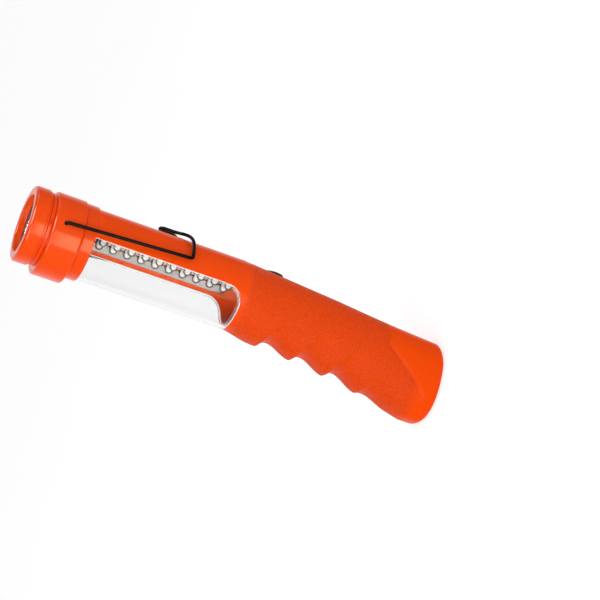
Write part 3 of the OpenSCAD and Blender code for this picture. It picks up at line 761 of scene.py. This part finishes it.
def build_shells():
    """Both halves of the body; the screws sit in the left one."""
    shell_half("body_shell_right", 1, [cap_bore_cutter(), button_cutter()])
    shell_half("body_shell_left", -1, [cap_bore_cutter(), button_cutter()] + screw_cutters())


# ---------------------------------------------------------------- flood lamp

def lens_rows(gap):
    """Station and edge angle of each row of the flood lens."""
    rows = []
    r = WINDOW_CORNER_R + gap
    for phi in np.radians(np.linspace(0, 90, 24)):
        edge = -gap - WINDOW_CORNER_R * (1 - math.sin(phi))
        rows.append((WINDOW_Z0 + gap + WINDOW_CORNER_R * (1 - math.cos(phi)), math.asin(edge / BARREL_R)))
    top = RING_Z0 - FIT_GAP
    for z in np.linspace(WINDOW_Z0 + r, top, 12)[1:]:
        rows.append((z, math.asin(-gap / BARREL_R)))
    return rows


def build_flood_lens():
    """Half-round clear lens with rounded rear corners and a softened rim."""
    rows, cols = lens_rows(LENS_GAP), 120
    rim = 0.25
    points = []
    for r in (BARREL_R, BARREL_R - LENS_WALL):
        for i, (z, edge) in enumerate(rows):
            a = np.linspace(edge, -math.pi - edge, cols)
            from_rim = np.minimum(a[0] - a, a - a[-1]) * BARREL_R
            soft = rim * np.exp(-((from_rim / rim) ** 2)) if r == BARREL_R else 0 * a
            if i == 0 and r == BARREL_R:
                soft = soft * 0 + rim
            points += list(zip((r - soft) * np.cos(a), (r - soft) * np.sin(a), 0 * a + z))
    n = len(rows)
    outer = grid_faces(n, cols)
    inner = [tuple(v + n * cols for v in f)[::-1] for f in outer]
    rim_loop = ([i * cols for i in range(n)] + [(n - 1) * cols + j for j in range(1, cols)]
                + [i * cols + cols - 1 for i in range(n - 2, -1, -1)] + list(range(cols - 2, 0, -1)))
    walls = [(a, b, b + n * cols, a + n * cols)
             for a, b in zip(rim_loop, rim_loop[1:] + rim_loop[:1])]
    lens = add_mesh("flood_lens_clear", points, outer + inner + walls, ["clear_lens"],
                    "flood_lens", 50)
    lens.visible_shadow = False


def lamp_profile(length, r):
    """Outline of a domed lamp from its base flange to its tip: (radius, height)."""
    dome = [(r * math.cos(t), length - r + r * math.sin(t)) for t in np.linspace(0, math.pi / 2, 12)]
    return [(0, 0), (r + 0.4, 0), (r + 0.4, 0.85), (r + 0.25, 1), (r, 1)] + dome


def build_lamps():
    """Round domed lamps, each with its lead frame cup and phosphor inside the clear resin."""
    boxes = solids("flood_leds")
    segments = 32
    circle = np.linspace(0, 2 * math.pi, segments, endpoint=False)
    points, faces, kinds = [], [], []

    def turned(profile, x, base_y, z, kind, segs=segments):
        """Adds a turned form that points away from the board."""
        start = len(points)
        ring = circle[:: segments // segs]
        for radius, height in profile:
            points.extend((x + radius * math.cos(a), base_y - height, z + radius * math.sin(a))
                          for a in ring)
        new = grid_faces(len(profile), segs, wrap_cols=True)
        faces.extend(tuple(v + start for v in f) for f in new)
        kinds.extend([kind] * len(new))

    for low, high in boxes:
        x, _, z = (low + high) / 2
        length = high[1] - low[1]
        r = (high[0] - low[0]) / 2 - 0.4
        turned(lamp_profile(length, r), x, high[1], z, 0)
        cup = [(0.05, 1.6), (1.3, 1.6), (1.35, 3.6), (1.15, 3.6), (0.5, 2.9), (0.05, 2.9)]
        turned(cup, x, high[1], z, 1)
        turned([(0.45, 2.95), (0.62, 3.1), (0.4, 3.3), (0.02, 3.35)], x, high[1], z, 2, 16)
        turned([(0.02, 1.2), (0.6, 1.2), (0.6, 4.4), (0.02, 4.4)], x + 1.75, high[1], z, 1, 8)
    lamps = add_mesh("flood_lamps", points, faces, ["lamp_resin", "lead_frame", "phosphor"],
                     "flood_leds", 50)
    assign_kinds(lamps, points, faces, kinds)


def assign_kinds(obj, points, faces, kinds):
    """Gives each face of obj the material of the first built face at the same place."""
    kind_at = {}
    for face, kind in zip(faces, kinds):
        middle = np.mean([points[v] for v in face], axis=0)
        kind_at[tuple(np.round(middle, 1))] = kind
    for polygon in obj.data.polygons:
        middle = np.mean([np.array(obj.data.vertices[v].co) / MM for v in polygon.vertices], axis=0)
        polygon.material_index = kind_at.get(tuple(np.round(middle, 1)), 0)


# ---------------------------------------------------------------- head

def build_collar():
    """Collar that carries the hook: round bore, outside set toward the lens."""
    low, high = mm_box("hook_collar")
    z0, z1 = low[2], high[2]
    outer = (high[1] - low[1]) / 2
    offset = -(high[1] + low[1]) / 2
    bore = NECK_R + FIT_GAP
    profile = rounded([(outer, z0), (outer, z1), (bore, z1), (bore, z0)], [1.1, 1.3, 0.3, 0.3], 8)
    count = len(profile)

    def shift(i):
        """Shift of the outer half of the profile along Y."""
        return -offset if i < count // 2 else 0

    points, faces = lathe_points(profile, 192, shift)
    mesh = raw_mesh("hook_collar_round", points, faces)
    clean(mesh)
    obj = new_object("hook_collar_round", mesh)
    across = Vector((math.cos(PIVOT_TURN), math.sin(PIVOT_TURN), 0))
    centre = Vector((0, 0, PIVOT_Z))
    cut_holes(obj, [cutter(PIVOT_HOLE_R, centre - across * 40, across, 80, 32)])
    finish_piece(obj, ["head_orange"], "hook_collar")


def build_head_core():
    """Fixed ring and neck behind the collar, with a half spigot under the body shells."""
    low, high = mm_box("head_core")
    ring_r = high[0]
    collar_z0 = mm_box("hook_collar")[0][2] - FIT_GAP
    shoulder_z = collar_z0 + SHOULDER_RISE
    corners = [(ring_r, RING_Z0), (ring_r, collar_z0), (NECK_R, collar_z0), (NECK_R, high[2]),
               (NECK_BORE_R, high[2]), (NECK_BORE_R, shoulder_z), (CORE_BORE_R, shoulder_z),
               (CORE_BORE_R, RING_Z0)]
    profile = rounded(corners, [0.35, 0.9, 0.3, 0.3, 0.3, 0, 0.3, 0.3], 6)
    points, faces = lathe_points(profile, 192)
    ring = len(points)
    arc = np.radians(np.linspace(3, 177, 90))
    top = RING_Z0 + 0.2
    half = [(SPIGOT_R, low[2]), (SPIGOT_R, top), (CORE_BORE_R, top), (CORE_BORE_R, low[2])]
    points += [(r * math.cos(a), r * math.sin(a), z) for a in arc for r, z in half]
    faces += [tuple(v + ring for v in f) for f in grid_faces(len(arc), 4, wrap_cols=True)]
    faces += [(ring, ring + 1, ring + 2, ring + 3)]
    last = ring + 4 * (len(arc) - 1)
    faces += [(last + 3, last + 2, last + 1, last)]
    add_mesh("head_core_turned", points, faces, ["head_orange"], "head_core")


def build_bezel():
    """Bezel with a rounded rim, a deep mouth in front of the lens and a stepped rear edge."""
    low, high = mm_box("bezel")
    nose, r = high[2], high[0]
    back = mm_box("head_core")[1][2] + FIT_GAP
    gasket = mm_box("front_lens_gasket")[1]
    male = NECK_BORE_R - FIT_GAP
    bore = gasket[0] + 0.1
    mouth = bore - 0.7
    step_z, step_r = back + 1.3, r - 0.7
    corners = [(r, step_z), (r, nose), (mouth, nose), (mouth, gasket[2]), (bore, gasket[2]),
               (bore, low[2]), (male, low[2]), (male, back), (step_r, back), (step_r, step_z)]
    profile = rounded(corners, [0.4, 2.0, 1.0, 0.3, 0, 0.3, 0.3, 0, 0.3, 0.2], 10)
    points, faces = lathe_points(profile, 192)
    add_mesh("bezel_turned", points, faces, ["head_orange"], "bezel")


def build_spot_reflector():
    """Reflector bowl around the spot lamp."""
    low, high = mm_box("spot_reflector")
    depth = high[2] - low[2]
    mouth = mm_box("front_lens_gasket")[1][0] - 0.5
    throat = 3.7
    steps = 24
    bowl = [(throat + (mouth - throat) * math.sqrt(i / steps), low[2] + depth * i / steps)
            for i in range(steps + 1)]
    back = [(min(high[0], x + 1.1), z) for x, z in reversed(bowl)]
    points, faces = lathe_points(bowl + back, 128)
    add_mesh("spot_reflector_bowl", points, faces, ["reflector_chrome"], "spot_reflector",
             60)


def build_front_lens():
    """Flat front lens with a bevelled rim."""
    low, high = mm_box("front_lens")
    r, middle = high[0], 0.001
    corners = [(middle, low[2]), (r, low[2]), (r, high[2]), (middle, high[2])]
    profile = rounded(corners, [0, 0.3, 0.3, 0], 4)
    points, faces = lathe_points(profile, 128)
    lens = add_mesh("front_lens_clear", points, faces, ["clear_lens"], "front_lens",
                    50)
    lens.visible_shadow = False


# ---------------------------------------------------------------- hook

def hook_path():
    """Centre line of the +X half of the bail, from its end in the collar to the tongue tip."""
    corner_z = mm_box("hook")[0][2] + WIRE_R + BEND_EXTRA
    leg_x = mm_box("hook_collar")[1][0] + WIRE_R + 0.5
    tongue_a = math.acos(TONGUE_R / HOOK_BEND_R)
    tongue_top = corner_z + TONGUE_LEN - TONGUE_R
    tongue_y = HOOK_BEND_R * math.sin(tongue_a)
    path = [(NECK_R + 0.35, 0, PIVOT_Z), (leg_x, 0, PIVOT_Z)]
    start = math.asin(HOOK_RISE / HOOK_BEND_R)

    def on_bend(a, z):
        """Point of the cross bend at angle a around the barrel."""
        return (HOOK_BEND_R * math.cos(a), HOOK_BEND_R * math.sin(a), z)

    path.append(on_bend(start, corner_z))
    path += [on_bend(a, corner_z) for a in np.linspace(start, TURN_ANGLE, 10)[1:]]
    for t in np.linspace(0, math.pi / 2, 14)[1:]:
        a = TURN_ANGLE + (tongue_a - TURN_ANGLE) * math.sin(t)
        path.append(on_bend(a, corner_z + TURN_RISE * (1 - math.cos(t))))
    path += [(TONGUE_R * math.cos(t), tongue_y, tongue_top + TONGUE_R * math.sin(t))
             for t in np.linspace(0, math.pi / 2, 12)]
    return path


def round_corner(path, index, radius, steps=8):
    """Replaces a sharp corner of a path by a small arc."""
    p = np.array(path[index], float)
    a = np.array(path[index - 1], float)
    b = np.array(path[index + 1], float)
    start = p + (a - p) / np.linalg.norm(a - p) * radius
    end = p + (b - p) / np.linalg.norm(b - p) * min(radius, np.linalg.norm(b - p) * 0.8)
    arc = [(1 - t) ** 2 * start + 2 * t * (1 - t) * p + t * t * end for t in np.linspace(0, 1, steps)]
    return path[:index] + [tuple(q) for q in arc] + path[index + 1:]


def build_hook():
    """Bail hook: one length of round wire with bent ends, mirrored about its middle."""
    half = hook_path()
    half = round_corner(half, 2, 2.4)
    half = round_corner(half, 1, 1.6)
    whole = half + [(-x, y, z) for x, y, z in reversed(half[:-1])]
    turn = Matrix.Rotation(PIVOT_TURN, 3, "Z")
    curve = bpy.data.curves.new("hook_wire", "CURVE")
    curve.dimensions = "3D"
    curve.bevel_depth = WIRE_R * MM
    curve.bevel_resolution = 6
    curve.use_fill_caps = True
    spline = curve.splines.new("POLY")
    spline.points.add(len(whole) - 1)
    for point, place in zip(spline.points, whole):
        point.co = (*(turn @ Vector(place) * MM), 1)
    spline.use_smooth = True
    curve.materials.append(MATERIALS["hook_black"])
    obj = new_object("hook_wire", curve)
    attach(obj, "hook")
    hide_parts("hook")


# ---------------------------------------------------------------- carried-over nodes

def paint_cad_nodes():
    """Gives every CAD node that stays visible the material of its slot."""
    for part in frame["record"]["subparts"]:
        mesh = frame["nodes"][part["node"]].data
        mesh.materials.clear()
        mesh.materials.append(MATERIALS[part["material_slot"]])
    frame["nodes"]["flood_lens_gasket"].visible_shadow = False


# ---------------------------------------------------------------- studio

def area_light(name, place, target, size, power, reflection_only=False, tint=(1, 1, 1)):
    """Soft rectangular light at place (mm) aimed at target (mm)."""
    light = bpy.data.lights.new(name, "AREA")
    light.shape = "RECTANGLE"
    light.size, light.size_y = size[0] * MM, size[1] * MM
    light.energy = power
    light.color = tint
    obj = new_object(name, light)
    obj.location = Vector(place) * MM
    obj.rotation_euler = (Vector(target) - Vector(place)).to_track_quat("-Z", "Y").to_euler()
    obj.visible_camera = False
    obj.visible_diffuse = not reflection_only


def build_floor():
    """Pale floor under the tail."""
    floor_r = 6000
    points = [(0, 0, 0)] + [(floor_r * math.cos(a), floor_r * math.sin(a), 0)
                            for a in np.linspace(0, 2 * math.pi, 64, endpoint=False)]
    faces = [(0, 1 + i, 1 + (i + 1) % 64) for i in range(64)]
    n = Nodes("floor_paper")
    n.link(n.mix(n.noise(3), (0.54, 0.54, 0.54), (0.57, 0.57, 0.57)), n.shader.inputs["Base Color"])
    n.set(Roughness=0.9, Specular_IOR_Level=0.1, Emission_Color=(1, 1, 1, 1), Emission_Strength=0.62)
    mesh = raw_mesh("floor", points, faces)
    mesh.materials.append(n.material)
    floor = new_object("floor", mesh)
    floor.visible_glossy = False


def build_world():
    """White surroundings, which reflections see dim toward +X and white toward -X."""
    world = bpy.data.worlds.new("studio")
    world.use_nodes = True
    tree = world.node_tree
    background = tree.nodes["Background"]
    background.inputs["Color"].default_value = (1, 1, 1, 1)
    ray = tree.nodes.new("ShaderNodeLightPath")
    where = tree.nodes.new("ShaderNodeTexCoord")
    axes = tree.nodes.new("ShaderNodeSeparateXYZ")
    mirrored = tree.nodes.new("ShaderNodeMapRange")
    for key, number in (("From Min", -0.3), ("From Max", -0.9), ("To Min", 0.06), ("To Max", 0.95)):
        mirrored.inputs[key].default_value = number
    level = tree.nodes.new("ShaderNodeMix")
    level.inputs["A"].default_value = 0.62
    tree.links.new(where.outputs["Generated"], axes.inputs[0])
    tree.links.new(axes.outputs["X"], mirrored.inputs["Value"])
    tree.links.new(ray.outputs["Is Glossy Ray"], level.inputs["Factor"])
    tree.links.new(mirrored.outputs["Result"], level.inputs["B"])
    tree.links.new(level.outputs["Result"], background.inputs["Strength"])
    bpy.context.scene.world = world


def build_lights():
    """Two soft lights, and two panels that only show as reflections."""
    middle = (0, 0, 130)
    area_light("key", (650, -560, 520), middle, (600, 500), 4.2)
    area_light("rim", (100, 900, 700), middle, (600, 300), 1.2)
    area_light("front_panel", (470, -160, 90), (0, 0, 190), (320, 190), 0.8, reflection_only=True,
               tint=(1, 0.8, 0.5))
    area_light("mouth_panel", (200, 100, 574), (0, 0, 250), (240, 240), 1.8, reflection_only=True)


def build_camera():
    """Camera at the viewing angle: 18 degrees above the horizon, rolled by 19 degrees."""
    elevation, sweep, roll = (math.radians(v) for v in (18.45, 15.41, 19.18))
    distance, aim_under_nose, aim_back = 1001.8, 169.2, 10.2
    toward = Vector((math.cos(elevation) * math.cos(sweep),
                     -math.cos(elevation) * math.sin(sweep), math.sin(elevation)))
    right = Vector((0, 0, -1))
    right = (right - toward * right.dot(toward)).normalized()
    up = toward.cross(right)
    turned_right = math.cos(roll) * right + math.sin(roll) * up
    turned_up = -math.sin(roll) * right + math.cos(roll) * up
    aim = Vector((0, aim_back, cad_box[1][2] / MM - aim_under_nose))
    place = (aim + toward * distance) * MM
    data = bpy.data.cameras.new("camera")
    data.lens = 102
    data.sensor_width = 36
    data.clip_start = 0.02
    camera = new_object("camera", data)
    axes = Matrix((turned_right, turned_up, toward)).transposed().to_4x4()
    camera.matrix_world = Matrix.Translation(place) @ axes
    bpy.context.scene.camera = camera


def main():
    """Camera, studio and every piece, then the Standard view transform."""
    build_camera()
    build_floor()
    build_world()
    build_lights()
    paint_cad_nodes()
    build_shells()
    build_flood_lens()
    build_lamps()
    build_collar()
    build_head_core()
    build_bezel()
    build_spot_reflector()
    build_front_lens()
    build_hook()
    bpy.context.scene.view_settings.view_transform = "Standard"


main()
